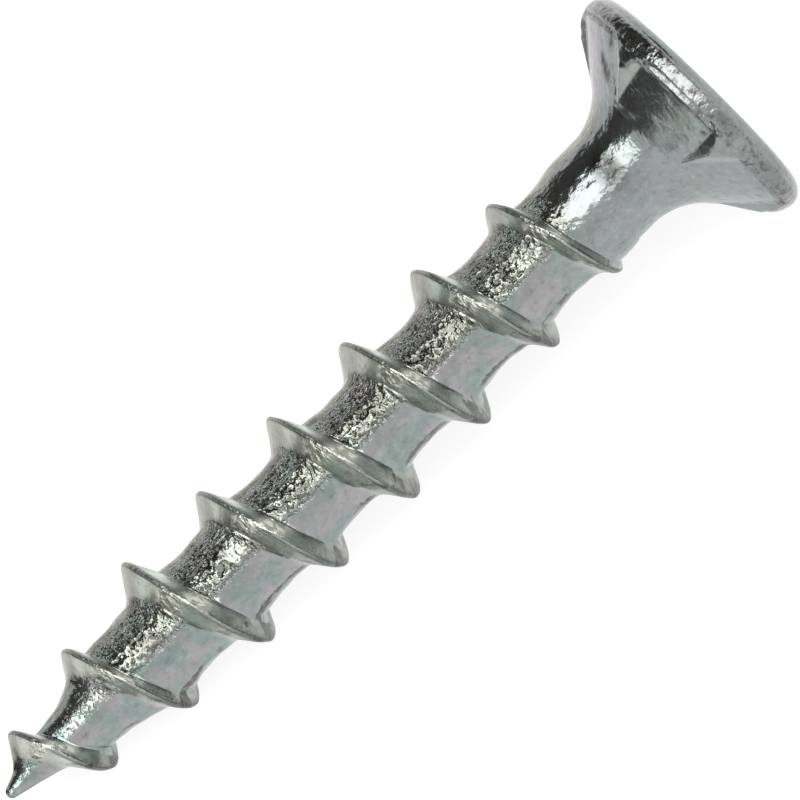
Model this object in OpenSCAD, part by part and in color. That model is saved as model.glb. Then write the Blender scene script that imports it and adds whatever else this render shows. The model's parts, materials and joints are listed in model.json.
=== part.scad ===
// Window frame screw: a countersunk tapping screw for plastic window frames
// with steel inside. It has a gimlet point, one coarse thread along almost the
// whole core, a thicker plain neck, and a flared head with a rounded rim, six
// cutting ribs underneath and a cross recess in its flat top.
// It is built standing on its point, along Z, and then laid down the way it
// comes to rest, on the rim of its head and one crest of its thread.

/* [Overall] */
// Length from the point to the flat top of the head
length = 25; // [20:0.5:40]
// Diameter over the rim of the head
head_d = 7.2; // [6:0.1:8.8]
// Diameter of the plain neck under the head
neck_d = 2.9; // [2.75:0.05:3.5]
// How far the screw has rolled about its own axis as it lies
roll = 48; // [0:1:359]

/* [Thread] */
// Diameter over the crest of the thread
thread_d = 4.06; // [3.3:0.02:4.9]
// Diameter of the core between the turns
root_d = 2.52; // [2.1:0.02:2.7]
// Distance from one turn to the next
pitch = 2.56; // [2.1:0.02:3.1]
// Height above the point at which the crest line begins
thread_start = 0.52; // [0.4:0.02:0.7]
// Width of the crest
crest_w = 0.12; // [0.1:0.02:0.3]
// Slope of the flank that faces the point, away from square to the axis
point_flank = 33; // [28:1:38]
// Slope of the flank that faces the head, away from square to the axis
head_flank = 24; // [20:1:32]
// Height above the point at which the crest reaches its full diameter
crest_full = 6.2; // [5:0.1:7.5]
// Diameter over the crest where the thread begins
crest_start_d = 2.0; // [1.7:0.05:2.4]
// Length below the top of the head in which the crest sinks towards the neck
sink_len = 8.4; // [7:0.1:10]
// How far the crest has sunk when it reaches the neck
sink = 0.38; // [0.2:0.02:0.44]

/* [Point] */
// Full angle of the gimlet point
point_angle = 28; // [25:0.5:32]
// Radius of the rounded tip
tip_r = 0.16; // [0.08:0.02:0.22]
// Radius that eases the point into the core
point_blend_r = 8; // [5:1:12]

/* [Neck] */
// Length from the top of the head down to the full neck
neck_len = 4; // [3.4:0.1:4.6]
// Length of the cone between core and neck
neck_cone = 1.3; // [0.8:0.1:2]

/* [Head] */
// Full angle of the cone under the head
head_angle = 99; // [84:1:104]
// Radius of the flare between neck and cone
flare_r = 1.75; // [1.4:0.05:2.2]
// Thickness of the rim, from the flat top to the end of the cone
rim_h = 0.8; // [0.7:0.02:0.9]
// How far the rim stands out past the end of the cone
rim_step = 0.2; // [0.1:0.02:0.26]
// Height of the narrow band between the cone and the rim
band_h = 0.16; // [0.1:0.02:0.18]
// Height of the bevel that leads from the band out to the rim
rim_bevel = 0.03; // [0.02:0.01:0.06]
// Radius of the rounded edge between rim and top
edge_r = 0.5; // [0.38:0.02:0.56]

/* [Cutting ribs] */
// Number of ribs under the head
rib_count = 6; // [4:1:8]
// Length from the top of the head down to where a rib begins
rib_len = 1.84; // [1.5:0.02:2]
// Slope of a rib's ridge, away from the axis
rib_slope = 58; // [55:1:60]
// Angle of a rib's steep side, away from the plane through its ridge
rib_steep = 62; // [54:1:64]
// Angle of a rib's flat side, away from the plane through its ridge
rib_flat = 66; // [60:1:70]
// Radius of the rib's outer end, where it bulges up to the rim
rib_belly_r = 0.74; // [0.6:0.02:0.9]

/* [Cross recess] */
// Width across the wings at the top
recess_span = 4.4; // [3.6:0.1:4.8]
// Depth of the recess to its tip
recess_depth = 2.3; // [1.8:0.1:2.5]
// Width of a wing at the top
wing_w = 1.05; // [0.8:0.05:1.3]
// Width of a wing at the tip of the recess
wing_tip_w = 0.6; // [0.4:0.05:0.75]

/* [Hidden] */
$fn = 96;

// Steps of the thread in one turn, and degrees between the points of an arc
turn_steps = 40;
arc_step = 5;
// How deep the thread's feet are sunk into the core
sunk = 0.12;
// Overshoot of a cut past the surface that it opens
clear = 0.2;

// The section of the thread, in shares of its height: it leaves its fillet at
// the first and rounds off towards the crest at the second
fillet_share = 0.12;
round_share = 0.9;
// Share of the crest's width that stays flat
flat_share = 0.45;
// How far the fillet runs out along the core
toe_len = 0.18;
// Shares of crest width and fillet that the thread has where it begins and ends
run_w_share = 0.4;
run_toe_share = 0.2;
// The smallest radius of the thread's feet, inside the point
least_r = 0.02;

// Angles of the points that round the tip, before it meets the point's cone
tip_steps = [-90, -55];

// How much wider than the cone the band is at its end
band_out = 0.03;

// Turn of the first rib about the axis
rib_turn = 23;
// Height of a rib's roof, most of it inside the head
rib_roof_h = 1.2;
// How far a rib starts ahead of the place where it leaves the cone
rib_lead = 0.3;
// Angle on the bulge, down from level, at which the ridge runs into it
rib_end_angle = 59.3;
// How far the bulge stays inside the rim
rib_inset = 0.02;

// Radius and height of the blunt cone at the tip of the recess
recess_tip_r = 0.7;
recess_tip_h = 0.35;

head_r = head_d / 2;
neck_r = neck_d / 2;
root_r = root_d / 2;
crest_r = thread_d / 2;
point_slope = tan(point_angle / 2);
// Radius that the point's cone would have at the tip
tip_out = tip_r * (1 - sin(point_angle / 2)) / cos(point_angle / 2);

// End of the cone, where the rim begins
rim_z = length - rim_h;
cone_r = head_r - rim_step;
cone_slope = tan(head_angle / 2);
// The rim's edge is one arc about a point at this height; it begins a little
// below its widest place, where the bevel meets it
edge_z = length - edge_r;
edge_from = -asin((edge_z - rim_z - band_h - rim_bevel) / edge_r);

// Radius of the cone under the head at a height
function under_r(z) = cone_r - (rim_z - z) * cone_slope;

// Points of an arc about a centre [r, z] between two angles
function arc(centre, radius, from, to) =
    let (n = max(2, ceil(abs(to - from) / arc_step)))
    [for (i = [0:n]) let (a = from + (to - from) * i / n) centre + radius * [cos(a), sin(a)]];

// Point cone and core are eased together by one long arc
blend_z = (root_r - tip_out) / point_slope + point_blend_r * tan(point_angle / 4);
blend_centre = [root_r - point_blend_r, blend_z];

// Radius of the point and the core at a height
function core_r(z) =
    z > blend_z ? root_r :
    z > blend_z - point_blend_r * sin(point_angle / 2)
        ? blend_centre[0] + sqrt(pow(point_blend_r, 2) - pow(blend_z - z, 2))
        : tip_out + max(z, 0) * point_slope;

// The flare touches the neck and the cone
flare_z = rim_z - (cone_r - neck_r) / cone_slope - flare_r * tan(head_angle / 4);
flare_centre = [neck_r + flare_r, flare_z];

// Crest line: a taper over the point, full height, then a slow sinking
thread_end = length - neck_len + pitch / 4;
sink_z = length - sink_len;

function taper_r(z) =
    crest_start_d / 2 + (crest_r - crest_start_d / 2) * (z - thread_start) / (crest_full - thread_start);

function crest_line(z) =
    min(crest_r, taper_r(z)) - sink * max(0, z - sink_z) / (thread_end - sink_z);

// Share of its full height that the thread has: it rises in a quarter of a
// turn and ends in half a turn
function rise(z) = min(1, (z - thread_start) / (pitch / 4), (thread_end - z) / (pitch / 2));

// Section of the thread at one height as [r, z], from the point side round
// the crest to the head side; its feet lie inside the core
function thread_section(z) =
    let (
        up = rise(z),
        foot = core_r(z) - sunk / 2,
        top = foot + max(0, up) * (crest_line(z) - foot),
        tall = top - foot,
        w = (run_w_share + (1 - run_w_share) * up) * crest_w / 2,
        toe = (run_toe_share + (1 - run_toe_share) * up) * toe_len,
        back = tall * tan(point_flank),
        ahead = tall * tan(head_flank),
        low_z = z - w - back - toe,
        high_z = z + w + ahead + toe
    )
    [
        [max(least_r, core_r(low_z) - sunk), low_z],
        [foot + fillet_share * tall, z - w - (1 - fillet_share) * back],
        [foot + round_share * tall, z - w - (1 - round_share) * back],
        [top, z - flat_share * w],
        [top, z + flat_share * w],
        [foot + round_share * tall, z + w + (1 - round_share) * ahead],
        [foot + fillet_share * tall, z + w + (1 - fillet_share) * ahead],
        [max(least_r, core_r(high_z) - sunk), high_z]
    ];

// Laid down, the screw stands on the rim and on the first crest that meets
// the ground as the point comes down, so the tilt is the smallest of those
// that the crests below it allow
first_below = thread_start + pitch * ((360 - roll) % 360) / 360;
crests = [for (z = [first_below:pitch:thread_end - pitch / 2]) if (z > thread_start + pitch / 2) z];

function tilt_on(z) =
    let (reach = edge_z - z, drop = head_r - edge_r - crest_line(z))
    atan2(drop, reach) + asin(edge_r / norm([drop, reach]));

tilt = min([for (z = crests) tilt_on(z)]);
lift = edge_r + (head_r - edge_r) * cos(tilt) - edge_z * sin(tilt);
far_x = edge_r + (head_r - edge_r) * sin(tilt) + edge_z * cos(tilt);

module body() {
    rotate_extrude()
        polygon(concat(
            [for (a = concat(tip_steps, -point_angle / 2)) [0, tip_r] + tip_r * [cos(a), sin(a)]],
            arc(blend_centre, point_blend_r, -point_angle / 2, 0),
            [[root_r, length - neck_len - neck_cone], [neck_r, length - neck_len]],
            arc(flare_centre, flare_r, 180, 180 - head_angle / 2),
            [[cone_r, rim_z], [cone_r + band_out, rim_z + band_h]],
            arc([head_r - edge_r, edge_z], edge_r, edge_from, 90),
            [[0, length]]
        ));
}

module thread() {
    turns = (thread_end - thread_start) / pitch;
    n = floor(turns * turn_steps);
    rings = [for (i = [0:n])
        let (a = 360 * i / turn_steps, z = thread_start + pitch * i / turn_steps)
        [for (p = thread_section(z)) [p[0] * cos(a), p[0] * sin(a), p[1]]]];
    m = len(rings[0]);
    points = [for (ring = rings) each ring];
    sides = [for (i = [0:n - 1], j = [0:m - 1])
        let (k = (j + 1) % m)
        each [
            [i * m + j, (i + 1) * m + k, (i + 1) * m + j],
            [i * m + j, i * m + k, (i + 1) * m + k]
        ]];
    first = [for (j = [m - 1:-1:0]) j];
    last = [for (j = [0:m - 1]) n * m + j];
    polyhedron(points, concat([first], sides, [last]));
}

// One rib is a roof whose ridge climbs faster than the cone
module rib() {
    start_z = length - rib_len;
    steep_w = rib_roof_h * tan(rib_steep);
    flat_w = rib_roof_h * tan(rib_flat);
    translate([under_r(start_z), 0, start_z])
        rotate([0, rib_slope, 0])
            translate([0, 0, -rib_lead])
                linear_extrude(rib_len / cos(rib_slope))
                    polygon([[0, 0], [-rib_roof_h, flat_w], [-rib_roof_h, -steep_w]]);
}

// The space that the ribs fill: its side bulges up to the rim
module rib_space() {
    bottom_z = length - rib_len - rib_lead;
    bulge = arc([head_r - rib_belly_r, edge_z], rib_belly_r - rib_inset, -rib_end_angle, 0);
    rotate_extrude()
        polygon(concat([[0, bottom_z], [bulge[0][0], bottom_z]], bulge, [[0, edge_z]]));
}

module ribs() {
    intersection() {
        rib_space();
        union()
            for (i = [0:rib_count - 1])
                rotate([0, 0, rib_turn + i * 360 / rib_count])
                    rib();
    }
}

// A wing is a bar that narrows downwards; the cone cuts its ends
module recess() {
    top = length + clear;
    widen = (wing_w - wing_tip_w) / 2 * clear / recess_depth;
    intersection() {
        rotate_extrude()
            polygon([
                [0, length - recess_depth],
                [recess_tip_r, length - recess_depth + recess_tip_h],
                [recess_span / 2, length],
                [recess_span / 2, top],
                [0, top]
            ]);
        union()
            for (a = [0, 90])
                rotate([0, 0, a])
                    rotate([90, 0, 0])
                        linear_extrude(recess_span + clear, center = true)
                            polygon([
                                [-wing_tip_w / 2, length - recess_depth - clear],
                                [wing_tip_w / 2, length - recess_depth - clear],
                                [wing_w / 2 + widen, top],
                                [-wing_w / 2 - widen, top]
                            ]);
    }
}

module standing_screw() {
    difference() {
        union() {
            body();
            thread();
            ribs();
        }
        recess();
    }
}

module screw() {
    color([0.72, 0.74, 0.76])
        translate([-far_x / 2, 0, lift])
            rotate([0, 90 - tilt, 0])
                rotate([0, 0, roll])
                    standing_screw();
}

screw();
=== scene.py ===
import json
import math
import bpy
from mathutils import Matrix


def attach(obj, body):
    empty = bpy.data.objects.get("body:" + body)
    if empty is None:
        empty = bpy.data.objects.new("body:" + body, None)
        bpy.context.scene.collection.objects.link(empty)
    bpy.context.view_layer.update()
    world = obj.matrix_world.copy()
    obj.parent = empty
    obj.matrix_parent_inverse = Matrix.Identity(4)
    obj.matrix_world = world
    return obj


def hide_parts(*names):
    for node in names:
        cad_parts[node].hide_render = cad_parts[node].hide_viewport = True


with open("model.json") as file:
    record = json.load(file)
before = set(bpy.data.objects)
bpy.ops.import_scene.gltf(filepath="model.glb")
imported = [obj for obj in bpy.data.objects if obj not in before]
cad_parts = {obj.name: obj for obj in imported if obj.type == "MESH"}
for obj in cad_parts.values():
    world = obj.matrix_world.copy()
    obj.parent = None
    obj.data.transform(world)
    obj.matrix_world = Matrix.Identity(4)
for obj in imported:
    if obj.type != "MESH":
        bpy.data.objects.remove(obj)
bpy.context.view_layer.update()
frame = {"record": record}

from types import SimpleNamespace

import bpy
import numpy as np
from mathutils import Matrix, Vector

# The visual model of a window frame screw that lies on a pale floor: one
# surface with its thread, cutting ribs and cross recess, in bright zinc plate.
# Sizes are in millimetres on the standing screw, point at 0 and axis along Z,
# and laid_down() turns them into metres in the frame.

MM = 0.001

# Overall
LENGTH = 25
HEAD_R = 3.6
NECK_R = 1.45
ROLL = math.radians(48)

# Point, core and neck
ROOT_R = 1.25
TROUGH = 0.12
POINT_ANGLE = math.radians(14)
POINT_SLOPE = math.tan(POINT_ANGLE)
POINT_EASE = 0.25
TIP_R = 0.16
TIP_OUT = 0.125
BEND, BEND_END = 0.055, 4
NECK_FROM, NECK_TO = 19.5, 21.1
ROLLED_END = NECK_TO - 0.3
SHANK_TOP, HEAD_FROM = NECK_TO + 0.1, NECK_TO + 0.2

# Thread
PITCH = 2.56
THREAD_START = 0.52
THREAD_END = 21.64
CREST_R = 2.04
CREST_START_R = 1.0
CREST_FULL_Z = 6.2
CREST_W, CREST_W_WANDER = 0.1, 0.3
SINK_FROM, SINK = 16.6, 0.34
POINT_FLANK = math.radians(33.5)
HEAD_FLANK = math.radians(24)
CREST_EASE, TAPER_EASE = 0.12, 0.06
POINT_FOOT_EASE, HEAD_FOOT_EASE = 0.2, 0.07
# Height over the core from which metal counts as thread, and the rise over
# which its share grows to 1
THREAD_FROM, THREAD_OVER = 0.05, 0.2
# How the photographed thread strays from an even one, from the half turn at
# FIRST_Z on: how far its crest stands out and how far it lies towards the head
FIRST_Z = 1.16
CREST_OUT = np.array([0.01, 0.04, 0.08, -0.09, 0.1, -0.08, 0, -0.08,
                      0.04, -0.01, 0.03, -0.04, 0.03, -0.08, 0, -0.08])
CREST_ALONG = np.array([0, -0.03, -0.13, -0.02, -0.08, -0.03, -0.02, 0.06,
                        0.02, 0, 0.09, 0.02, 0.09, 0.06, 0.03, -0.04])

# Head
CONE_ANGLE = 49.5
CONE_SLOPE = math.tan(math.radians(CONE_ANGLE))
FLARE_R = 1.75
RIM_Z = LENGTH - 0.8
CONE_R = HEAD_R - 0.2
BAND_H, BAND_OUT = 0.16, 0.03
BEVEL_H = 0.03
EDGE_R = 0.5
EDGE_Z = LENGTH - EDGE_R
FLARE_Z = RIM_Z - (CONE_R - NECK_R) / CONE_SLOPE - FLARE_R * math.tan(math.radians(CONE_ANGLE / 2))

# Cutting ribs
RIBS = 6
RIB_TURN = math.radians(23)
RIB_Z = LENGTH - 1.84
RIBBED_FROM = RIB_Z - 0.1
RIB_SLOPE = math.radians(58)
RIB_STEEP = math.radians(62)
RIB_FLAT = math.radians(66)
RIDGE_EASE = 0.012
RIB_END_EASE, RIB_FOOT_EASE = 0.05, 0.02
BELLY_R = 0.72
BELLY_CENTRE_R = HEAD_R - 0.74
BELLY_DROP = BELLY_R * math.sin(math.radians(59.3))

# Cross recess
RECESS_R = 2.2
RECESS_DEPTH = 2.3
RECESS_TIP_R, RECESS_TIP_H = 0.7, 0.35
WING_W, WING_TIP_W = 1.05, 0.6
RECESS_EASE = 0.12
MOUTH_EASE = 0.06

# Soft waves of the surface: length of the long and the short ones, height of
# the long ones, and of the short ones with what the dies add to it
LONG_WAVE, SHORT_WAVE = 1.6, 0.6
LONG_H, SHORT_H, ROLLED_H = 0.006, 0.004, 0.006
# Dents in the visible side: height of the middle, its direction as facing_of
# gives it, size and depth
DENTS = ((23.52, -4, 0.1, 0.03), (23.70, -7, 0.13, 0.035), (24.2, 0, 0.09, 0.02),
         (24.04, 61, 0.06, 0.02), (24.24, 54, 0.05, 0.02), (24.02, 111, 0.08, 0.03),
         (24.62, 11, 0.09, 0.025), (24.66, 30, 0.1, 0.02), (24.6, 44, 0.12, 0.02),
         (24.7, 36, 0.09, 0.02), (24.63, -5, 0.1, 0.02), (21.2, 30, 0.12, 0.02),
         (20.6, 41, 0.1, 0.02), (20.1, 27, 0.12, 0.02), (21.75, 44, 0.2, 0.03),
         (22.0, 28, 0.14, 0.03), (13.71, 70, 0.07, 0.035), (9.53, 60, 0.07, 0.03))
# Dark marks: dark spots on some dents, and painted shade where the neck's
# highlight breaks and along the rim's lower side. Height and direction of the
# middle, half of the length along the axis and of the width, and how dark
MARKS_AND_PAINTED_SHADE = ((21.83, 34, 0.33, 0.5, 0.85), (21.46, 58, 0.03, 0.45, 0.6),
         (24.62, 62, 0.16, 0.3, 0.35), (23.50, -2, 0.12, 0.11, 1),
         (23.60, -5.5, 0.12, 0.1, 1), (23.72, -9, 0.12, 0.1, 1),
         (24.12, -1, 0.1, 0.1, 0.9), (24.55, 112, 0.5, 1.6, 0.25),
         (24.04, 61, 0.05, 0.05, 1), (24.24, 54, 0.04, 0.04, 1),
         (24.02, 111, 0.06, 0.06, 1))

# Bands of the finish, which the mesh carries and the material reads
BANDS = ("rolled", "thread", "beside", "edge", "head", "pebbled", "nicked", "far",
         "under", "marks", "worn")
# Each comes in over the first pair of directions and goes out over the second,
# in degrees as facing_of gives them
FAINT_PEBBLES_IN = (-45, -15)
PEBBLES_IN, PEBBLES_OUT = (12, 24), (40, 62)
# The thread's nicks, where the colour also paints a highlight
NICKS_AND_GLINTS = (22, 32), (44, 54)
# Where the colour paints shade on the side away from the light
PAINTED_SHADE_FAR_SIDE = (0, -16), (-140, -175)
# Painted shade towards the floor: a line under the thread and the core, and the side that faces
# the floor
PAINTED_SHADE_THREAD_IN = (72, 92)
PAINTED_SHADE_CORE = (102, 114), (118, 130)
PAINTED_SHADE_FLOOR_SIDE_IN = (135, 150)
# A rib side whose colour is painted dark as shade
PAINTED_SHADE_FACET = (-53, -51), (-34, -32)
# A rib side painted paler as light, with a rougher finish
WORN_AND_LIT_FACET = (10.5, 12), (27, 29)
# Heights between which the core turns from nearly smooth to pebbled, and the
# share of the pebbles that the smooth part has
POINT_SMOOTH = (3.5, 4.3)
POINT_PEBBLES = 0.35

# The grid: steps of the shank round the axis and across one pitch, and steps
# of the head between a rib's ridge and the middle of the panel beside it, with
# the gap of those that follow an edge. Rows of the head on the neck, the flare,
# the cone and the rim's edge, over the flat top, and down inside the recess
SHANK_STEPS = 144
ACROSS_STEPS = 44
HALF_PANEL = 24
LANE_GAP = 0.03
NECK_ROWS, FLARE_ROWS, CONE_ROWS, EDGE_ROWS = 4, 26, 28, 18
LAND_ROWS, WALL_ROWS = 6, 13

mounts = {row["name"]: row for row in frame["record"]["mounts"]}
TOP = np.array(mounts["drive_recess"]["pos_m"])
AXIS = np.array(mounts["drive_recess"]["axis"])
AXIS /= np.linalg.norm(AXIS)
SIDE = np.array([0.0, 1.0, 0.0])
DOWN = np.cross(SIDE, AXIS)


def laid_down(x, y, z):
    """Points of the standing screw as it lies: rolled about its axis, then set
    along the frame's axes from the middle of the head's top."""
    across = x * math.cos(ROLL) - y * math.sin(ROLL)
    beside = x * math.sin(ROLL) + y * math.cos(ROLL)
    offsets = (across, DOWN), (beside, SIDE), (z - LENGTH, AXIS)
    return TOP + MM * sum(np.multiply.outer(amount, way) for amount, way in offsets)


def smooth_max(a, b, ease):
    """The larger of a and b. Where they differ by less than ease, they are
    mixed by the share h, and ease times h times (1 - h) fills the corner."""
    h = np.clip(0.5 + 0.5 * (a - b) / ease, 0, 1)
    return b + (a - b) * h + ease * h * (1 - h)


def smooth_min(a, b, ease):
    """The smaller of a and b, rounded like smooth_max."""
    return -smooth_max(-a, -b, ease)


def smooth_step(x, start, end):
    """Rises from 0 at start to 1 at end as 3t squared less 2t cubed."""
    t = np.clip((x - start) / (end - start), 0, 1)
    return t * t * (3 - 2 * t)


def band(x, comes_in, goes_out):
    """1 between a rise over comes_in and a fall over goes_out, 0 outside."""
    return smooth_step(x, *comes_in) * (1 - smooth_step(x, *goes_out))


def ripple(x, y, z, wave, seed):
    """A soft random field between about -1 and 1: the mean of plane waves in
    random directions, with lengths round wave."""
    rng = np.random.default_rng(seed)
    total = 0
    count = 14
    for _ in range(count):
        way = rng.normal(size=3)
        way *= 2 * math.pi / (wave * rng.uniform(0.7, 1.5)) / np.linalg.norm(way)
        total = total + np.sin(way[0] * x + way[1] * y + way[2] * z + rng.uniform(0, 2 * math.pi))
    return total / math.sqrt(count)


def core_radius(z):
    """Radius of point, core and neck: a cone that begins TIP_OUT wide, held
    inside a round tip, eased into the straight core, and a smooth step out to
    the neck."""
    cap = np.sqrt(np.clip(TIP_R ** 2 - (np.minimum(z, TIP_R) - TIP_R) ** 2, 0, None))
    cone = TIP_OUT + POINT_SLOPE * z
    tip = np.where(z < TIP_R * (1 - math.sin(POINT_ANGLE)), cap, cone)
    core = smooth_min(tip, ROOT_R, POINT_EASE)
    neck = (NECK_R - ROOT_R) * smooth_step(z, NECK_FROM, NECK_TO)
    return np.where(z <= 0, 0, core + neck)


def strays(z, table):
    """A smooth line through a table's values, which stand half a turn apart."""
    place = np.clip((z - FIRST_Z) / (PITCH / 2), 0, len(table) - 1.001)
    low = np.floor(place).astype(int)
    share = smooth_step(place - low, 0, 1)
    return table[low] + (table[low + 1] - table[low]) * share


def crest_radius(z):
    """Radius of the crest line: a taper over the point, full height, then a
    slow sinking towards the neck."""
    share = (z - THREAD_START) / (CREST_FULL_Z - THREAD_START)
    taper = CREST_START_R + (CREST_R - CREST_START_R) * share
    sunk = SINK * np.clip((z - SINK_FROM) / (THREAD_END - SINK_FROM), 0, None)
    return smooth_min(taper, CREST_R, TAPER_EASE) - sunk + strays(z, CREST_OUT)


def thread_rise(z):
    """Share of its height that the thread has: it starts in a quarter of a
    turn and runs out in half a turn."""
    start = (z - THREAD_START) / (PITCH / 4)
    end = (THREAD_END - z) / (PITCH / 2)
    return np.clip(np.minimum(start, end), 0, 1)


def shank_radius(z, crest_z, crest_w):
    """Radius of the shank at height z beside a crest at crest_z. Two straight
    flanks fall from the crest, the one that faces the point at a lower slope,
    and the core between two turns is a shallow trough. The crest's corners
    and the flanks' feet are eased."""
    rise = thread_rise(crest_z)
    off = z - crest_z
    core = core_radius(z) + rise * TROUGH / 2 * (1 + np.cos(2 * math.pi * off / PITCH))
    base = core_radius(crest_z)
    crest = base + rise * (crest_radius(crest_z) - base) - (1 - rise) * POINT_FOOT_EASE / 2
    fall = np.where(off < 0, 1 / math.tan(POINT_FLANK), 1 / math.tan(HEAD_FLANK))
    flank = crest + (crest_w / 2 - np.abs(off)) * fall
    top = smooth_min(crest, flank, CREST_EASE)
    ease = np.where(off < 0, POINT_FOOT_EASE, HEAD_FOOT_EASE)
    radius = smooth_max(core, top, ease * np.clip(rise + 0.2, 0, 1))
    share = np.clip((radius - core - THREAD_FROM) / THREAD_OVER, 0, 1)
    return np.where(z <= 0, 0, radius), share


def across_one_pitch():
    """Places across one pitch, measured from the crest. They follow the
    thread's outline: as many steps to a length of it as to the next, with
    more of them where it bends at the crest."""
    middle = 12.0
    fine = np.linspace(-PITCH / 2, PITCH / 2, 2000)
    radius, _ = shank_radius(middle + fine, np.full(len(fine), middle), CREST_W)
    weight = np.hypot(np.gradient(fine), np.gradient(radius))
    weight *= 1 + 2.5 * np.exp(-(fine / (CREST_W * 0.9)) ** 2)
    total = np.cumsum(weight)
    total = (total - total[0]) / (total[-1] - total[0])
    return np.interp(np.arange(ACROSS_STEPS) / ACROSS_STEPS, total, fine)


def shank(top_z):
    """Point, thread and lower neck as one grid that climbs with the thread.

    A point has a turn about the axis and a place across the pitch. Its height
    is the crest's height at that turn plus the place, held between the tip and
    top_z, and its radius comes from shank_radius. What is held at the tip is
    one point, and what is held at top_z is the last ring. Returns x, y, z, the
    thread's share and the distance from the crest line at each point, faces,
    and the last ring."""
    across = across_one_pitch()
    turns = math.ceil((top_z - THREAD_START) / PITCH) + 2
    angle = RIB_TURN + 2 * math.pi * np.arange(SHANK_STEPS) / SHANK_STEPS
    crest_0 = THREAD_START + PITCH * (angle / (2 * math.pi) - 1)
    steps = turns * ACROSS_STEPS
    lane = np.arange(steps)
    off = across[lane % ACROSS_STEPS]
    crest_z = crest_0[:, None] + PITCH * (lane // ACROSS_STEPS)[None, :]
    along = strays(crest_z, CREST_ALONG)
    near_crest = (1 + np.cos(2 * math.pi * off / PITCH)) / 2
    height = np.clip(crest_z + off + along * near_crest, 0, top_z)
    line_z = crest_z + along
    turned = np.broadcast_to(angle[:, None], height.shape)
    wander = ripple(crest_z * 4, np.cos(turned), np.sin(turned), 2.2, 5)
    radius, share = shank_radius(height, line_z, CREST_W * (1 + CREST_W_WANDER * wander))
    x, y = radius * np.cos(turned), radius * np.sin(turned)

    inside = (height > 0) & (height < top_z)
    index = np.cumsum(inside.ravel()).reshape(inside.shape)
    count = int(index.max())
    ring = count + 1 + np.arange(SHANK_STEPS)
    index = np.where(inside, index, np.where(height >= top_z, ring[:, None], 0))

    # The step past the last turn of the grid is the first one, a pitch higher
    after = np.roll(index, -1, axis=0)
    after[-1, :-ACROSS_STEPS] = index[0, ACROSS_STEPS:]
    after[-1, -ACROSS_STEPS:] = ring[0]
    corners = index[:, :-1], after[:, :-1], after[:, 1:], index[:, 1:]
    quads = np.stack(corners, axis=-1).reshape(-1, 4)

    rim_r = core_radius(np.array([top_z]))[0]
    px = np.concatenate([[0], x[inside], rim_r * np.cos(angle)])
    py = np.concatenate([[0], y[inside], rim_r * np.sin(angle)])
    pz = np.concatenate([[0], height[inside], np.full(SHANK_STEPS, top_z)])
    shares = np.concatenate([[0], share[inside], np.zeros(SHANK_STEPS)])
    beside = np.concatenate([[1], (height - line_z)[inside], np.ones(SHANK_STEPS)])
    return px, py, pz, shares, beside, quads, ring


def belly_radius(z):
    """Radius of the ribs' outer end: an arc that bulges up to the rim, and
    straight below the place where the ridge runs into it."""
    return BELLY_CENTRE_R + np.sqrt(BELLY_R ** 2 - np.minimum(EDGE_Z - z, BELLY_DROP) ** 2)


def ridge_radius(z):
    """Radius of the ribs' ridge line, which climbs faster than the cone."""
    under = CONE_R - (RIM_Z - RIB_Z) * CONE_SLOPE
    return under + (z - RIB_Z) * math.tan(RIB_SLOPE)


# Fall of a rib's two sides: in a cut square to the axis, a side's radius is the
# ridge's divided by the cosine plus the fall times the sine of the angle
STEEP_FALL = 1 / (math.tan(RIB_STEEP) * math.cos(RIB_SLOPE))
FLAT_FALL = 1 / (math.tan(RIB_FLAT) * math.cos(RIB_SLOPE))


def roof_angle(ratio, fall):
    """Angle from the ridge at which a rib's side has fallen from the ridge's
    radius by this ratio: the angle whose cosine plus fall times its sine is
    the ratio."""
    return np.arcsin(np.clip(ratio / math.hypot(1, fall), -1, 1)) - math.atan(1 / fall)


def head_profile():
    """Radius and height of the head's rows without its ribs: the upper neck,
    the flare's arc, the cone, a narrow rounded band, the step out to the rim,
    and the rim's rounded edge up to the flat top."""
    neck_z = np.linspace(HEAD_FROM, FLARE_Z, NECK_ROWS, endpoint=False)
    turn = np.radians(np.linspace(180, 180 - CONE_ANGLE, FLARE_ROWS))
    flare_r = NECK_R + FLARE_R + FLARE_R * np.cos(turn)
    flare_z = FLARE_Z + FLARE_R * np.sin(turn)
    cone_z = np.linspace(flare_z[-1], RIM_Z, CONE_ROWS)[1:]
    cone_r = CONE_R - (RIM_Z - cone_z) * CONE_SLOPE
    band_z = RIM_Z + BAND_H * np.array([0.08, 0.25, 0.5, 0.75, 0.92, 1])
    band_r = CONE_R + BAND_OUT * np.array([0.4, 0.75, 1, 1.1, 1.1, 1.05])
    start = -math.asin((EDGE_Z - RIM_Z - BAND_H - BEVEL_H) / EDGE_R)
    edge = np.linspace(start, math.pi / 2, EDGE_ROWS)
    edge_r = HEAD_R - EDGE_R + EDGE_R * np.cos(edge)
    edge_z = EDGE_Z + EDGE_R * np.sin(edge)
    radius = np.concatenate([np.full(NECK_ROWS, NECK_R), flare_r, cone_r, band_r, edge_r])
    height = np.concatenate([neck_z, flare_z, cone_z, band_z, edge_z])
    return radius, height


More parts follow.
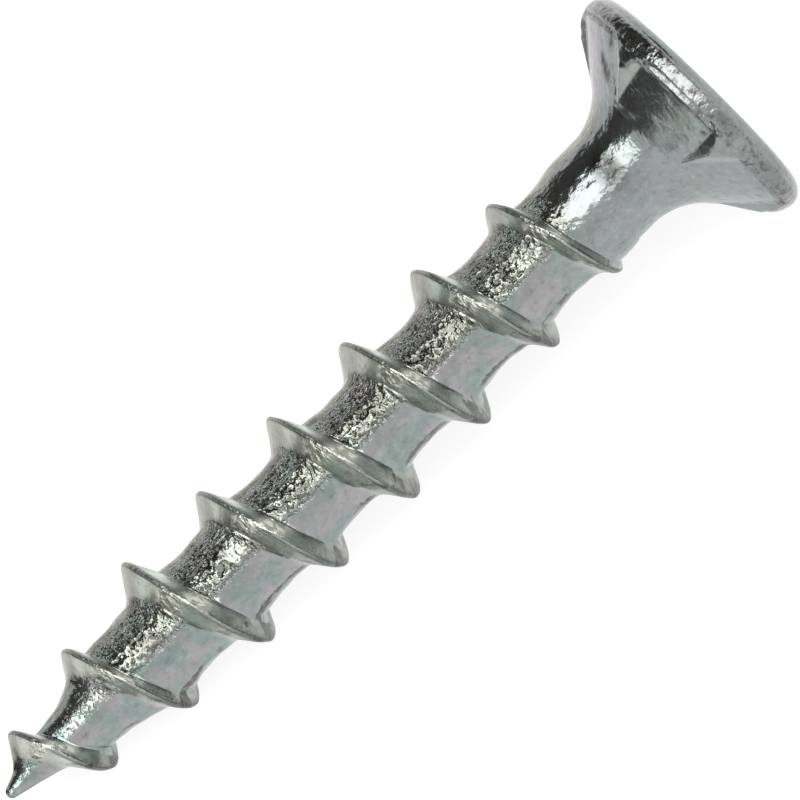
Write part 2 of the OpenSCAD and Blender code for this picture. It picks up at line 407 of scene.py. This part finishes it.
def rib_lanes(radius, height, fall):
    """Angle of each lane from its rib's ridge, row by row. Two lanes lie close
    to the ridge. Others follow the edge between the rib's end and its side,
    and the rib's outline on the cone, with one lane close to each side of
    both, and the rest spread out evenly over the panel. Below the ribs and
    above the rim they are even."""
    held = np.minimum(height, EDGE_Z)
    near = LANE_GAP / radius
    tongue = roof_angle(ridge_radius(held) / belly_radius(held), fall)
    outline = roof_angle(ridge_radius(held) / np.where(height > EDGE_Z, HEAD_R, radius), fall)
    tongue = np.maximum(tongue, 3.5 * near)
    outline = np.maximum(outline, tongue + 3 * near)
    half = math.pi / RIBS
    knots = np.stack([0 * near, 0.7 * near, 1.4 * near, tongue - near, tongue, tongue + near,
                      outline - near, outline, outline + near, 0 * near + half], axis=1)
    at = np.array([0, 1, 2, 6, 7, 8, 12, 13, 14, HALF_PANEL])
    lanes = np.arange(HALF_PANEL + 1)
    fitted = np.stack([np.interp(lanes, at, row) for row in knots])
    even = np.broadcast_to(lanes * half / HALF_PANEL, fitted.shape)
    share = band(height, (RIB_Z - 0.7, RIB_Z - 0.05), (EDGE_Z + 0.05, LENGTH - 0.02))
    return even + share[:, None] * (fitted - even)


def all_round(flat, steep):
    """Turns the lanes of a rib's two sides into lanes all round the head.
    Returns the angle from the axes and from the nearest ridge."""
    one = np.concatenate([flat, -steep[:, -2:0:-1]], axis=1)
    first = np.arange(2 * HALF_PANEL) > HALF_PANEL
    turns = [one + (rib + first) * 2 * math.pi / RIBS for rib in range(RIBS)]
    return RIB_TURN + np.concatenate(turns, axis=1), np.tile(one, RIBS)


def wing_radius(angle, z):
    """Outline of the cross recess at height z: two bars across each other,
    cut by a cone that ends in a blunt tip."""
    depth = (LENGTH - z) / RECESS_DEPTH
    half_w = (WING_W + (WING_TIP_W - WING_W) * depth) / 2
    down = (LENGTH - z) / (RECESS_DEPTH - RECESS_TIP_H)
    cone = RECESS_R + (RECESS_TIP_R - RECESS_R) * np.clip(down, 0, 1)
    least = np.minimum(np.abs(np.sin(angle)), np.abs(np.cos(angle)))
    return smooth_min(half_w / np.maximum(least, 1e-3), cone, RECESS_EASE)


def recess_lanes(z, lane_0, count):
    """Angles of the lanes round the recess at height z: a third of them on
    the wings' ends and the rest on their sides, from one corner to the next."""
    depth = (LENGTH - z) / RECESS_DEPTH
    half_w = (WING_W + (WING_TIP_W - WING_W) * depth) / 2
    cone = RECESS_R + (RECESS_TIP_R - RECESS_R) * depth
    corner = np.arcsin(np.clip(half_w / cone, 0, 0.7))
    quarter = count // 4
    place = (np.arange(count) - lane_0 + quarter / 2) % quarter
    wing = np.floor((np.arange(count) - lane_0 + quarter / 2) / quarter)
    knots = [-math.pi / 4, -corner, corner, math.pi / 4]
    at = [0, quarter / 3, quarter * 2 / 3, quarter]
    return wing * math.pi / 2 + np.interp(place, at, knots)


def head():
    """Neck, flare, cone with its ribs, rim, top and recess as rings of points
    round the axis, from the neck to the tip of the recess. A rib is a roof: at
    an angle from its ridge its radius is the ridge's radius divided by the
    cosine plus its side's fall times the sine, and its end is cut by the belly
    arc. Each point of the cone takes the larger of cone and rib."""
    radius, height = head_profile()
    flat, steep = (rib_lanes(radius, height, fall) for fall in (FLAT_FALL, STEEP_FALL))
    angle, from_ridge = all_round(flat, steep)
    count = angle.shape[1]
    z = np.broadcast_to(height[:, None], angle.shape)
    fall = np.where(from_ridge > 0, FLAT_FALL, STEEP_FALL)
    beside = np.hypot(np.sin(from_ridge), RIDGE_EASE) - RIDGE_EASE / 2
    roof = ridge_radius(z) / (np.cos(from_ridge) + fall * beside)
    rib = smooth_min(roof, belly_radius(z), RIB_END_EASE)
    r = np.broadcast_to(radius[:, None], angle.shape)
    ribbed = (z > RIBBED_FROM) & (z <= EDGE_Z)
    r = np.where(ribbed, smooth_max(r, rib, RIB_FOOT_EASE), r)

    # Rings over the flat top to the mouth of the recess, and down inside it
    lane_0 = round(-RIB_TURN / (2 * math.pi) * count)
    land_r = HEAD_R - EDGE_R
    rings = []
    for share in np.linspace(0, 1, LAND_ROWS + 1)[1:]:
        mouth = recess_lanes(LENGTH, lane_0, count)
        turned = angle[-1] + share * (mouth - angle[-1])
        edge = wing_radius(turned, LENGTH) + MOUTH_EASE
        rings.append((land_r + share * (edge - land_r), turned, LENGTH))
    for turn in (30, 60, 90):
        sunk = MOUTH_EASE * (1 - math.cos(math.radians(turn)))
        out = MOUTH_EASE * (1 - math.sin(math.radians(turn)))
        rings.append((wing_radius(mouth, LENGTH - sunk) + out, mouth, LENGTH - sunk))
    floor_z = LENGTH - RECESS_DEPTH + RECESS_TIP_H
    for z_row in np.linspace(LENGTH - MOUTH_EASE, floor_z, WALL_ROWS + 1)[1:]:
        turned = recess_lanes(z_row, lane_0, count)
        rings.append((wing_radius(turned, z_row), turned, z_row))
    outline, turned, _ = rings[-1]
    for share in (0.75, 0.5, 0.25):
        z_row = floor_z - RECESS_TIP_H * (1 - share * outline / RECESS_TIP_R)
        rings.append((share * outline, turned, z_row))

    r = np.concatenate([r, [ring[0] for ring in rings]])
    angle = np.concatenate([angle, [ring[1] for ring in rings]])
    z = np.concatenate([z, [np.broadcast_to(ring[2], count) for ring in rings]])
    return r * np.cos(angle), r * np.sin(angle), z


def screw_surface():
    """The whole screw: the shank's climbing grid, a strip that leads from its
    last ring to the head's first, which has twice the steps, the head's
    rings, and a fan that closes the tip of the recess."""
    x, y, z, thread, beside, quads, last = shank(SHANK_TOP)
    hx, hy, hz = head()
    rows, count = hx.shape
    ring = len(x) + np.arange(rows * count).reshape(rows, count)
    after = np.roll(ring, -1, axis=1)
    corners = ring[:-1], after[:-1], after[1:], ring[1:]
    head_quads = np.stack(corners, axis=-1).reshape(-1, 4)

    follow = np.roll(last, -1)
    low, mid, high = ring[0, ::2], ring[0, 1::2], np.roll(ring[0, ::2], -1)
    centre = len(x) + rows * count
    triangles = np.concatenate([
        np.stack([last, follow, mid], axis=1),
        np.stack([last, mid, low], axis=1),
        np.stack([follow, high, mid], axis=1),
        np.stack([ring[-1], after[-1], np.full(count, centre)], axis=1),
    ])

    x = np.concatenate([x, hx.ravel(), [0]])
    y = np.concatenate([y, hy.ravel(), [0]])
    z = np.concatenate([z, hz.ravel(), [LENGTH - RECESS_DEPTH]])
    thread = np.concatenate([thread, np.zeros(rows * count + 1)])
    beside = np.concatenate([beside, np.ones(rows * count + 1)])

    # Where the shank's grid is held at the tip or the last ring, a quad has
    # lost one corner or more
    quads = np.concatenate([quads, head_quads])
    twin = quads == np.roll(quads, -1, axis=1)
    three = quads[twin.sum(axis=1) == 1]
    keep = ~twin[twin.sum(axis=1) == 1]
    triangles = np.concatenate([triangles, three[keep].reshape(-1, 3)])
    quads = quads[twin.sum(axis=1) == 0]
    return x, y, z, thread, beside, quads, triangles


def facing_of(x, y):
    """Direction that a point faces, in degrees from straight up towards the
    camera's side."""
    return np.mod(np.degrees(ROLL + np.arctan2(-y, -x)) + 180, 360) - 180


def rolled_share(z):
    """1 where the rolling dies worked and 0 on the neck and the head."""
    return 1 - smooth_step(z, NECK_FROM, ROLLED_END)


def wavy(x, y, z):
    """The surface with what drawing, rolling and pressing left: soft waves of
    a few thousandths of a millimetre along the radius, none at the tip or on
    top, dents that fall off like a bell, and a point that is bent a little to
    one side."""
    radius = np.hypot(x, y)
    share = np.clip(radius / 0.5, 0, 1) * (z < EDGE_Z)
    short = SHORT_H + ROLLED_H * rolled_share(z)
    wave = LONG_H * ripple(x, y, z, LONG_WAVE, 11) + short * ripple(x, y, z, SHORT_WAVE, 12)
    facing = facing_of(x, y)
    for at, way, size, depth in DENTS:
        apart = ((z - at) ** 2 + (radius * np.radians(facing - way)) ** 2) / size ** 2
        wave = wave - depth * np.exp(-apart)
    factor = 1 + share * wave / np.maximum(radius, 0.1)
    return x * factor, y * factor + BEND * (1 - smooth_step(z, 0, BEND_END)), z


def dark_and_shaded_marks(radius, facing, z):
    """How dark each point is, from dark spots and painted shade: the sum of the
    marks, each a patch with a soft border whose share falls as e to the minus
    fourth power of the distance."""
    total = 0
    for at, way, half_length, half_width, share in MARKS_AND_PAINTED_SHADE:
        aside = radius * np.radians(facing - way) / half_width
        total = total + share * np.exp(-((z - at) / half_length) ** 4 - aside ** 4)
    return total


def finish_bands(x, y, z, thread, beside):
    """What the finish reads at each point, by name. rolled is 1 where the dies
    worked, thread is the thread's share and beside the distance from the crest
    line in millimetres, edge is 1 on the side of the rim and head on cone and
    rim. The rest go by the direction that a point faces: pebbled is 1 where
    the core is rough, nicked on the thread's crest and flanks at the same
    place, where the colour paints a highlight over the nicks, far on the side
    away from the camera's, where it paints shade, and under towards the floor,
    where it paints a dark line of shade. marks is 1 on dark marks and on
    painted shade, and worn on one rib's side, which is rougher and painted
    paler as light. On the thread the directions lean over by up to lean
    degrees, to either side of the crest."""
    lean, lean_over = 8, 0.05
    rolled = rolled_share(z)
    radius = np.hypot(x, y)
    facing = facing_of(x, y)
    leaning = facing - lean * np.tanh(beside / lean_over)

    pebbled = 0.5 * smooth_step(facing, *FAINT_PEBBLES_IN) + 0.5 * smooth_step(facing, *PEBBLES_IN)
    pebbled = pebbled * (1 - smooth_step(facing, *PEBBLES_OUT))
    pebbled = pebbled * (POINT_PEBBLES + (1 - POINT_PEBBLES) * smooth_step(z, *POINT_SMOOTH))

    # Painted shade: a dark line under the core and the thread, and the side that faces the floor,
    # stand in for the screw's shadow mirrored in the plate
    under = (1 - thread) * band(facing, *PAINTED_SHADE_CORE)
    under = under + thread * smooth_step(leaning, *PAINTED_SHADE_THREAD_IN)
    under = rolled * np.maximum(under, smooth_step(np.abs(facing), *PAINTED_SHADE_FLOOR_SIDE_IN))

    # A rib stands above the cone, and its roof ends where the belly begins
    cone = CONE_R - (RIM_Z - np.clip(z, FLARE_Z, RIM_Z)) * CONE_SLOPE
    raised = (z > RIBBED_FROM) * smooth_step(radius - cone, 0, 0.03)
    raised = raised * (1 - smooth_step(z, RIM_Z - 0.1, RIM_Z))
    on_roof = 1 - smooth_step(radius - belly_radius(z), -0.09, -0.04)
    # The dark rib side on the far side is painted shade
    marks = dark_and_shaded_marks(radius, facing, z) + 1.3 * raised * band(facing, *PAINTED_SHADE_FACET)

    return {
        "rolled": rolled,
        "thread": thread,
        "beside": beside,
        "edge": band(z, (RIM_Z - 0.02, RIM_Z + 0.06), (LENGTH - 0.28, LENGTH - 0.22)),
        "head": smooth_step(z, FLARE_Z + 0.6, FLARE_Z + 1.4),
        "pebbled": pebbled,
        # Nicks on the thread, with a painted highlight in the colour
        "nicked": thread * band(leaning, *NICKS_AND_GLINTS),
        # Painted shade on the side away from the light
        "far": band(facing, *PAINTED_SHADE_FAR_SIDE),
        "under": under,
        "marks": np.minimum(marks, 1),
        # Painted light: this rib side is painted paler as well as rougher
        "worn": raised * on_roof * band(facing, *WORN_AND_LIT_FACET),
    }


def make_screw():
    """The screw's mesh, with the bands that the finish reads."""
    x, y, z, thread, beside, quads, triangles = screw_surface()
    points = laid_down(*wavy(x, y, z))
    mesh = bpy.data.meshes.new("screw_surface")
    mesh.from_pydata(points.tolist(), [], quads.tolist() + triangles.tolist())
    mesh.validate()
    bands = finish_bands(x, y, z, thread, beside)
    for name in BANDS:
        layer = mesh.attributes.new(name, "FLOAT", "POINT")
        layer.data.foreach_set("value", bands[name].astype(np.float32))
    mesh.polygons.foreach_set("use_smooth", np.ones(len(mesh.polygons), dtype=bool))
    mesh.update()
    screw = bpy.data.objects.new("window_frame_screw", mesh)
    bpy.context.scene.collection.objects.link(screw)
    return screw


def linear(code):
    """An sRGB hex colour as the linear colour that sockets take."""
    parts = [int(code[i:i + 2], 16) / 255 for i in (1, 3, 5)]
    return [c / 12.92 if c <= 0.04045 else ((c + 0.055) / 1.055) ** 2.4 for c in parts] + [1]


def add(tree, kind, inputs=(), out=None, **settings):
    """Adds a node with its own settings and what goes into its sockets: a list
    in their order or a dictionary by name, of constants and of other nodes'
    outputs. Returns the output with this name, or else the first in use."""
    node = tree.nodes.new("ShaderNode" + kind)
    for name, value in settings.items():
        setattr(node, name, value)
    for socket, source in inputs.items() if isinstance(inputs, dict) else enumerate(inputs):
        if isinstance(source, bpy.types.NodeSocket):
            tree.links.new(source, node.inputs[socket])
        else:
            node.inputs[socket].default_value = source
    return node.outputs[out] if out else next((one for one in node.outputs if one.enabled), None)


def tally(tree, *rows):
    """A sum with one part for each row, the product of the row's constants and
    sources."""
    total = None
    for product, *others in rows:
        for other in others:
            product = add(tree, "Math", [product, other], operation="MULTIPLY")
        total = product if total is None else add(tree, "Math", [total, product], operation="ADD")
    return total


def new_material(name):
    """An empty node material and its tree."""
    material = bpy.data.materials.new(name)
    material.use_nodes = True
    material.node_tree.nodes.clear()
    return material, material.node_tree


# Noises of the zinc plated steel: size in millimetres, detail, roughness, and
# what places along the screw are multiplied by. Above 1 the features are
# shorter along the screw than round it, and below 1 longer
NOISES = {
    "round_pebbles": (0.21, 1.7, 0.5, 1.6),
    "long_pebbles": (0.19, 1.7, 0.5, 0.55),
    "patches": (1.1, 1, 0.5, 1),
    "waves": (0.7, 2, 0.5, 1),
    "dings": (0.3, 1, 0.5, 1),
    "mottle": (0.22, 4, 0.7, 1),
    "knocks": (0.1, 2, 0.5, 1),
    "grit": (0.04, 2, 0.5, 1),
}
# Smooth steps of its bands and noises: what each follows, the two values that
# it runs between, and what it gives before the first and past the second
STEPS = {
    # Where the relief is
    "in_band": ("pebbled", 0.5, 0.9, 0, 1),
    "on_thread": ("thread", 0.5, 0.9, 0, 1),
    "on_core": ("thread", 0, 0.5, 1, 0.1),
    "patchy": ("patches", 0.3, 0.7, 0.7, 1.3),
    # Which of two tones a place has
    "worked_tone": ("waves", 0.38, 0.62, 0, 1),
    "flank_tone": ("patches", 0.4, 0.6, 0, 1),
    "brown_tone": ("waves", 0.4, 0.6, 0, 1),
    # Where the colours are, and how strong
    # Near-white painted light towards the foot of the steep flank
    "steep_flank": ("beside", 0.2, 0.5, 0, 1),
    "green_patches": ("patches", 0.45, 0.75, 0, 0.5),
    "brown_core": ("thread", 0, 0.6, 0.7, 0.1),
    "brown_spots": ("mottle", 0.35, 0.6, 0.6, 1),
    "rim_spots": ("mottle", 0.5, 0.62, 0, 0.7),
    "line_broken": ("waves", 0.42, 0.54, 0.1, 1),
    "mauve_spots": ("mottle", 0.5, 0.75, 0, 0.5),
    "pale_spots": ("mottle", 0.5, 0.25, 0, 0.5),
    "past_foot": ("beside", -0.6, -0.5, 1, 0),
    "before_trough": ("beside", -1.25, -0.95, 0, 1),
    # Pits darker on the side away from the light: painted shade
    "tarnish_far": ("far", 0, 1, 0.6, 1.9),
    "tarnish_spots": ("waves", 0.46, 0.56, 0, 0.75),
    "marks_speckled": ("knocks", 0.3, 0.5, 0.6, 1),
    # How rough the plate is, and where it is rougher beside the crest
    "plate_roughness": ("grit", 0.2, 0.8, 0.13, 0.22),
    "headward": ("beside", 0.02, 0.1, 0, 1),
}
# Heights of the bumps, in metres
PEBBLES_LOW, PEBBLES_HIGH = 0.01 * MM, 0.15 * MM
WAVES_H, GRIT_H, SEAM_DEPTH = 0.02 * MM, 0.001 * MM, 0.008 * MM
CREST_KNOCKS_H, RIM_KNOCKS_H, PLAIN_KNOCKS_H = 0.03 * MM, 0.02 * MM, 0.012 * MM
RIM_DINGS_H, PLAIN_DINGS_H = 0.045 * MM, 0.03 * MM
# Distance of the two lines on the crest from its middle, in millimetres
SEAM_OUT = 0.058


def steel_fields(tree):
    """What the zinc plated steel is made of, by name: its bands and noises and
    the smooth steps of both."""
    fields = {name: add(tree, "Attribute", out="Fac", attribute_name=name) for name in BANDS}
    place = add(tree, "TexCoord", out="Object")
    for name, (size, detail, roughness, along) in NOISES.items():
        spot = add(tree, "VectorMath", [place, (along, 1, 1)], operation="MULTIPLY")
        fields[name] = add(tree, "TexNoise", {"Vector": spot, "Scale": 1 / (size * MM),
                                              "Detail": detail, "Roughness": roughness})
    for name, (source, *limits) in STEPS.items():
        fields[name] = add(tree, "MapRange", [fields[source], *limits],
                           interpolation_type="SMOOTHSTEP")
    return SimpleNamespace(**fields)


def crest_and_seams(tree, steel):
    """1 on the thread's crest, and 1 on two lines along it, where the rolled
    metal closed up. Both go by the distance from the crest line."""
    from_line = add(tree, "Math", [steel.beside], operation="ABSOLUTE")
    near = add(tree, "MapRange", [from_line, 0.05, 0.14, 1, 0], interpolation_type="SMOOTHSTEP")
    from_seam = add(tree, "Math", [from_line, SEAM_OUT], operation="SUBTRACT")
    to_seam = add(tree, "Math", [from_seam], operation="ABSOLUTE")
    on_seam = add(tree, "MapRange", [to_seam, 0.008, 0.024, 1, 0], interpolation_type="SMOOTHSTEP")
    return tally(tree, [near, steel.on_thread]), tally(tree, [on_seam, steel.on_thread])


def pebbled_field(tree, steel):
    """Where the core is pebbled: the band, with a border that knocks make
    ragged, on the core more than on the thread."""
    ragged = tally(tree, [steel.pebbled], [steel.knocks, 2.2], [-1.1])
    ragged = add(tree, "MapRange", [ragged, 0.2, 0.6], interpolation_type="SMOOTHSTEP")
    return tally(tree, [steel.pebbled, ragged, steel.on_core, steel.rolled])


def steel_relief(tree, steel):
    """Height of the bumps in metres: a sum of pebbles that are high in their
    field and on the nicked part of the thread, soft waves, knocks and dings on
    crest, rim and plain metal, which is neither rolled nor head, grit, and the
    seams, which are cut in."""
    share = tally(tree, [steel.field], [steel.nicked, 0.6])
    pebbles_h = add(tree, "MapRange", [share, 0, 1, PEBBLES_LOW, PEBBLES_HIGH],
                    interpolation_type="SMOOTHSTEP")
    plain = tally(tree, [1], [steel.rolled, -1], [steel.head, -1])
    return tally(tree, [steel.pebbles, pebbles_h, steel.patchy],
                 [steel.waves, WAVES_H],
                 [steel.knocks, steel.crest, CREST_KNOCKS_H],
                 [steel.knocks, steel.edge, RIM_KNOCKS_H],
                 [steel.knocks, plain, PLAIN_KNOCKS_H],
                 [steel.dings, steel.edge, RIM_DINGS_H],
                 [steel.dings, plain, PLAIN_DINGS_H],
                 [steel.grit, GRIT_H],
                 [steel.seams, -SEAM_DEPTH])


def steel_colour(tree, steel):
    """Colour of the plate: the plain metal's tone, and over it in turn those of
    the rolled metal, the thread with painted light at its steep flank's foot,
    painted shade on the sides away from the light, the rim, painted shade
    towards the floor, the film's faint hues, the pebbles with a painted
    highlight on the thread's nicks, and what is dark in them or marked, where
    some marks are painted shade, and a rib side painted paler as light. Each
    takes the share that is the product of its terms."""
    tones = {
        "plain": (steel.waves, "#8A9092", "#979C9C"),
        "worked": (steel.worked_tone, "#8A9794", "#9F9C9E"),
        "flat flank": (steel.flank_tone, "#CBD5CB", "#CFCDC6"),
        "away": (steel.head, "#98988E", "#999499"),
        "brown": (steel.brown_tone, "#7A756E", "#605A4C"),
        "worn": (steel.mottle, "#A3A5A3", "#C8C9C7"),
    }
    for name, (share, a, b) in tones.items():
        tones[name] = add(tree, "Mix", {"Factor": share, "A": linear(a), "B": linear(b)},
                          data_type="RGBA")
    # Painted light: towards the foot of the steep flank the thread turns near white, in place of
    # the light that the flanks and the core take from each other
    flanks = add(tree, "Mix", {"Factor": steel.steep_flank, "A": tones["flat flank"],
                               "B": linear("#F2F6F2")}, data_type="RGBA")

    # Painted shade towards the floor: a dark line on the core, which knocks make
    # ragged, and the thread's side, in place of the screw's shadow that the
    # plate mirrors
    ragged = tally(tree, [steel.under], [steel.knocks, 1.2], [-0.6])
    ragged = add(tree, "MapRange", [ragged, 0.55, 0.85], interpolation_type="SMOOTHSTEP")
    line = tally(tree, [ragged, steel.line_broken, 0.85])
    side = tally(tree, [steel.thread, steel.under, 0.55])
    painted_floor_shade = add(tree, "Math", [side, line], operation="MAXIMUM")

    # Dark pits between the pebbles, fainter at the foot of the flat flank
    pitted = tally(tree, [steel.field], [steel.nicked, 0.4])
    between = add(tree, "MapRange", [steel.pebbles, 0.45, 0.55, 0.9, 0],
                  interpolation_type="SMOOTHSTEP")
    at_foot = tally(tree, [steel.before_trough, steel.past_foot])
    fainter = add(tree, "MapRange", [at_foot, 0, 1, 1, 0.3], interpolation_type="SMOOTHSTEP")

    layers = (
        ([steel.rolled], tones["worked"]),
        ([steel.thread], flanks),
        ([steel.crest, 0.9], "#858C88"),
        ([steel.green_patches], "#8B948E"),
        # Painted shade: the side away from the light takes a darker tone, and the rolled core
        # there a brown one
        ([steel.far, 0.8], tones["away"]),
        ([steel.far, steel.rolled, steel.brown_core, steel.brown_spots], tones["brown"]),
        ([steel.edge, 0.7], "#868786"),
        ([steel.edge, steel.rim_spots], "#5C5A57"),
        ([painted_floor_shade], "#3C3C3A"),
        ([steel.mauve_spots], "#6C6768"),
        ([steel.pale_spots], "#A9B4AE"),
        ([steel.seams, 0.5], "#4C4946"),
        ([steel.field, 0.6], "#B4B6A8"),
        # Painted highlight: near white where the thread's nicks face the light
        ([steel.nicked, 0.8], "#EDEDE2"),
        ([pitted, between, fainter], "#4E5048"),
        # The pits' dark, stronger on the side away from the light as painted shade
        ([steel.field, steel.tarnish_far, steel.tarnish_spots], "#46443F"),
        # Dark marks: dark spots on dents, and painted shade
        ([steel.marks, steel.marks_speckled], "#3A3A37"),
        # Painted light: one rib side paler, besides its rougher finish
        ([steel.worn], tones["worn"]))
    body = tones["plain"]
    for shares, over in layers:
        over = linear(over) if isinstance(over, str) else over
        body = add(tree, "Mix", {"Factor": tally(tree, shares), "A": body, "B": over},
                   data_type="RGBA")
    return body


def zinc_plated_steel():
    """Cold-headed and rolled steel with bright zinc plate under a clear
    passivation film: a cool grey metal, smooth on neck and head, pebbled where
    the rolling dies worked, with the film's faint blue, green and mauve."""
    material, tree = new_material("zinc_plated_steel")
    steel = steel_fields(tree)
    steel.crest, steel.seams = crest_and_seams(tree, steel)
    steel.field = pebbled_field(tree, steel)
    # The grain lies round the axis in the band and along it beside the band
    steel.pebbles = add(tree, "Mix", {"Factor": steel.in_band, "A": steel.long_pebbles,
                                      "B": steel.round_pebbles})
    roughness = tally(tree, [steel.plate_roughness],
                      [steel.thread, 0.12],
                      [steel.rolled, steel.pebbled, 0.08],
                      [steel.worn, 0.4],
                      [steel.nicked, steel.headward, 0.4])
    bump = add(tree, "Bump", {"Height": steel_relief(tree, steel), "Strength": 1, "Distance": 1})
    metal = add(tree, "BsdfPrincipled", {"Base Color": steel_colour(tree, steel), "Metallic": 1,
                                         "Roughness": roughness, "Normal": bump})
    add(tree, "OutputMaterial", {"Surface": metal})
    return material


def to_camera(tree):
    """1 for what the camera sees, directly, in a gloss or through glass."""
    path = add(tree, "LightPath").node.outputs
    either = add(tree, "Math", [path["Is Camera Ray"], path["Is Glossy Ray"]], operation="MAXIMUM")
    return add(tree, "Math", [either, path["Is Transmission Ray"]], operation="MAXIMUM")


def white_floor():
    """White card under the screw. Part of its white is its own, so that it
    stays white at an even light, and the rest is light, which the screw's
    shadow takes away."""
    material, tree = new_material("white_card")
    own = tally(tree, [to_camera(tree), OWN_WHITE])
    glow = add(tree, "Emission", {"Color": linear("#FFFFFF"), "Strength": own})
    card = add(tree, "BsdfDiffuse", {"Color": linear("#7B7B7B")})
    add(tree, "OutputMaterial", {"Surface": add(tree, "AddShader", [glow, card])})
    return material


def lit_cloth():
    """The evenly lit front of a soft box."""
    material, tree = new_material("soft_box_front")
    glow = add(tree, "Emission", {"Color": linear("#FFFFFF"), "Strength": SOFT_BOX_LIGHT})
    add(tree, "OutputMaterial", {"Surface": glow})
    return material


def grey_cloth():
    """Dark grey cloth."""
    material, tree = new_material("grey_cloth")
    cloth = add(tree, "BsdfDiffuse", {"Color": linear("#74716E")})
    add(tree, "OutputMaterial", {"Surface": cloth})
    return material


# The stage: distance and half length of the bent cards in metres, and where
# each stands, in degrees from straight up, positive towards the camera's side
ARCH_R = 0.6
ARCH_HALF = 1.3
SOFT_BOX = (2, 46)
DARK_SIDE = (-58, 2)
# The dark card beyond the point: its directions from the head, in degrees from
# the X axis, its distance at the last of them and at the first, which is on the
# far side, the direction from which that grows, and its height
END_TURNS = (138, 174)
END_R = 0.055
END_FAR_R = 0.09
END_GROWS_FROM = 156
END_H = 0.09
CARD_STEPS = 24
FLOOR_HALF = 2
# Strengths: the soft box, the floor's own white, and the room as it lights
SOFT_BOX_LIGHT = 3.4
OWN_WHITE = 0.89
ROOM_LIGHT = 0.66


def place_mesh(name, points, faces, material):
    """A stage object from points in metres."""
    mesh = bpy.data.meshes.new(name)
    mesh.from_pydata(points, [], faces)
    mesh.materials.append(material)
    thing = bpy.data.objects.new(name, mesh)
    bpy.context.scene.collection.objects.link(thing)
    return thing


def card_mesh(name, x, y, z, material):
    """A card that the camera doesn't see, between two rows of points that
    share the places of the card's steps."""
    rows = [np.stack(np.broadcast_arrays(*row), axis=1) for row in zip(x, y, z)]
    faces = [(i, i + 1, i + CARD_STEPS + 1, i + CARD_STEPS) for i in range(CARD_STEPS - 1)]
    card = place_mesh(name, np.concatenate(rows).tolist(), faces, material)
    card.visible_camera = False
    return card


def end_card():
    """A dark card that stands on the floor beyond the screw's point, bent
    round the head at a distance that grows towards the far side. It darkens
    what the cone under the head mirrors, and takes no light from the floor."""
    turn = np.linspace(*END_TURNS, CARD_STEPS)
    far_side = np.clip((END_GROWS_FROM - turn) / (END_GROWS_FROM - END_TURNS[0]), 0, 1)
    distance = END_R + (END_FAR_R - END_R) * far_side
    x = TOP[0] + distance * np.cos(np.radians(turn))
    y = distance * np.sin(np.radians(turn))
    card = card_mesh("end_card", (x, x), (y, y), (0, END_H), grey_cloth())
    card.visible_diffuse = False


def arch(name, turns, material):
    """A long card bent round the X axis: each point stands ARCH_R away, at an
    angle from straight up that runs over turns, positive towards the camera's
    side."""
    angle = np.radians(np.linspace(*turns, CARD_STEPS))
    y, z = -ARCH_R * np.sin(angle), ARCH_R * np.cos(angle)
    card_mesh(name, (-ARCH_HALF, ARCH_HALF), (y, y), (z, z), material)


def make_stage():
    """White floor, a soft box that reaches from above the screw to behind the
    camera, and dark cloth on the far side, in a pale room."""
    half = FLOOR_HALF
    corners = [(-half, -half, 0), (half, -half, 0), (half, half, 0), (-half, half, 0)]
    place_mesh("floor", corners, [(0, 1, 2, 3)], white_floor())
    arch("soft_box", SOFT_BOX, lit_cloth())
    arch("dark_side", DARK_SIDE, grey_cloth())
    end_card()

    world = bpy.data.worlds.new("pale_room")
    bpy.context.scene.world = world
    world.use_nodes = True
    tree = world.node_tree
    tree.nodes.clear()
    level = add(tree, "MapRange", {"Value": to_camera(tree), "To Min": ROOM_LIGHT, "To Max": 1})
    room = add(tree, "Background", {"Color": linear("#FFFFFF"), "Strength": level})
    add(tree, "OutputWorld", {"Surface": room})
    bpy.context.scene.view_settings.view_transform = "Standard"


# Places in the photograph, in pixels of its 800 by 800 frame
TIP_PIXEL = (7.5, 797.5)
TOP_PIXEL = (702.7, 89.8)
IMAGE = 800
FOCAL = 5500
SENSOR = 36
# Height on the screw's axis that the camera stands square to, and the height
# that lies at the middle of the photograph
SQUARE_Z = 16.33
CENTRE_Z = 14.08


def make_camera():
    """The camera stands square to the screw's axis, ROLL away from straight
    above. Its distance gives the photograph's scale, and it is turned so that
    the axis lies in the picture as it does in the photograph."""
    run = TOP_PIXEL[0] - TIP_PIXEL[0]
    climb = TIP_PIXEL[1] - TOP_PIXEL[1]
    long = math.hypot(run, climb)
    distance = MM * LENGTH * FOCAL / long
    tip = TOP - AXIS * LENGTH * MM
    towards = -math.cos(ROLL) * DOWN - math.sin(ROLL) * SIDE
    eye = tip + AXIS * SQUARE_Z * MM + towards * distance
    ahead = tip + AXIS * CENTRE_Z * MM - eye
    ahead /= np.linalg.norm(ahead)
    along = AXIS - ahead * AXIS.dot(ahead)
    along /= np.linalg.norm(along)
    below = np.cross(along, -ahead)
    right = (run * along + climb * below) / long
    up = (climb * along - run * below) / long

    data = bpy.data.cameras.new("camera")
    data.sensor_width = SENSOR
    data.lens = FOCAL / IMAGE * SENSOR
    data.clip_start = 0.01
    camera = bpy.data.objects.new("camera", data)
    bpy.context.scene.collection.objects.link(camera)
    turn = Matrix([right, up, -ahead]).transposed().to_4x4()
    camera.matrix_world = Matrix.Translation(Vector(eye)) @ turn
    bpy.context.scene.camera = camera


make_camera()
make_stage()
screw = make_screw()
screw.data.materials.append(zinc_plated_steel())
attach(screw, "root")
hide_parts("screw")
